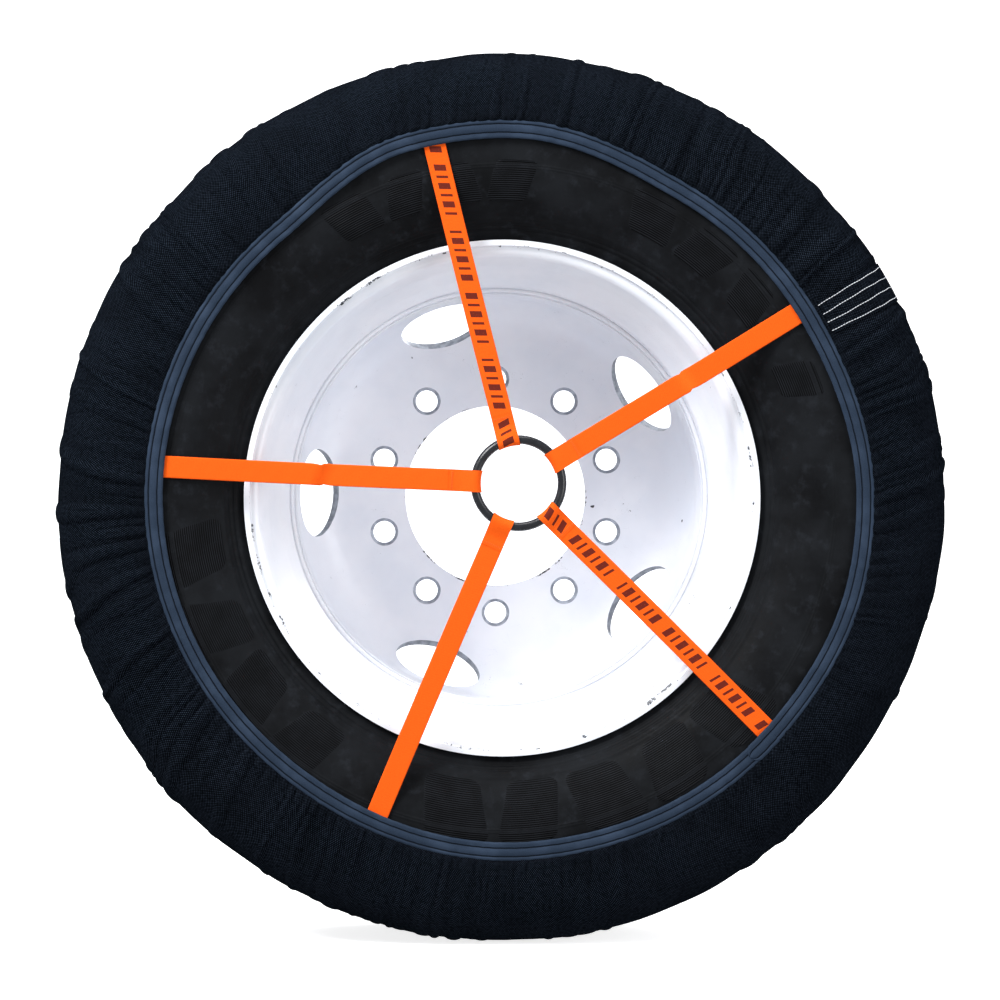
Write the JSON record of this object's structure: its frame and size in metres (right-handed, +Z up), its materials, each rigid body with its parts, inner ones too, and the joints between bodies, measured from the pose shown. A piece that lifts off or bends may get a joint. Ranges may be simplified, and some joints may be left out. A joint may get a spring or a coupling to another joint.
{
  "type": "snow sock on truck wheel",
  "caption": "Fabric snow sock stretched over a truck tyre on a steel disc wheel, held by elastic straps to a central pull ring.",
  "frame": {"origin": "on the hub bore's axis, at the disc's mounting face", "axes": "+Y along the wheel axis towards the vehicle, so the street side faces -Y; +Z up; +X to the right seen from the street"},
  "size_m": [1.0303, 0.3212, 1.0304],
  "materials": {
    "painted_steel": "semi-gloss white enamel",
    "valve_metal": "machined",
    "valve_rubber": "matte",
    "cap_plastic": "matte",
    "tyre_rubber": "matte",
    "ply_cord": "rubberised cord",
    "belt_steel": "drawn wire in rubber",
    "sock_cloth": "woven polyester",
    "binding_tape": "woven tape",
    "elastic_core": "braided elastic",
    "white_thread": "twisted thread",
    "dark_thread": "twisted thread",
    "strap_elastic": "woven elastic",
    "ring_rubber": "glossy"
  },
  "bodies": {
    "wheel": {"wheel_rim": "painted_steel", "wheel_disc": "painted_steel", "disc_weld": "painted_steel", "valve_stem": "valve_metal", "valve_grommet": "valve_rubber", "valve_nut": "valve_metal", "valve_core": "valve_metal", "tyre_tread": "tyre_rubber", "outer_sidewall": "tyre_rubber", "inner_sidewall": "tyre_rubber", "casing_ply": "ply_cord", "steel_belts": "belt_steel", "inner_liner": "tyre_rubber", "outer_bead_wire": "belt_steel", "inner_bead_wire": "belt_steel", "outer_bead_filler": "tyre_rubber", "inner_bead_filler": "tyre_rubber"},
    "sock": {"tread_fabric": "sock_cloth", "outer_side_fabric": "sock_cloth", "inner_side_fabric": "sock_cloth", "outer_binding": "binding_tape", "outer_elastic": "elastic_core", "inner_binding": "binding_tape", "inner_elastic": "elastic_core", "binding_stitches": "dark_thread", "closing_seam": "sock_cloth", "seam_stitches": "white_thread", "strap_1": "strap_elastic", "strap_2": "strap_elastic", "strap_3": "strap_elastic", "strap_4": "strap_elastic", "strap_5": "strap_elastic"},
    "strap_loops": {"strap_loop_1": "strap_elastic", "strap_loop_2": "strap_elastic", "strap_loop_3": "strap_elastic", "strap_loop_4": "strap_elastic", "strap_loop_5": "strap_elastic", "loop_stitches": "dark_thread"},
    "ring": {"centre_ring": "ring_rubber"},
    "valve_cap": {"valve_cap": "cap_plastic"},
    "valve_pin": {"valve_pin": "valve_metal"}
  },
  "joints": [
    {"name": "sock_creep", "type": "hinge", "parent": "wheel", "child": "sock", "pos_m": [0, -0.1676, 0], "axis": [0, 1, 0], "continuous": true},
    {"name": "ring_pull", "type": "slide", "parent": "sock", "child": "strap_loops", "axis": [0, -1, 0], "range_m": [0, 0.12], "stiffness_N_per_m": 300, "deforming": ["strap_1", "strap_2", "strap_3", "strap_4", "strap_5"]},
    {"name": "ring_spin", "type": "hinge", "parent": "strap_loops", "child": "ring", "pos_m": [0.0174, -0.31445, 0.0176], "axis": [0, 1, 0], "continuous": true},
    {"name": "cap_lift", "type": "slide", "parent": "wheel", "child": "valve_cap", "axis": [0, 1, 0], "range_m": [0, 0.02]},
    {"name": "pin_press", "type": "slide", "parent": "wheel", "child": "valve_pin", "axis": [0, -1, 0], "range_m": [0, 0.0015], "stiffness_N_per_m": 600}
  ]
}
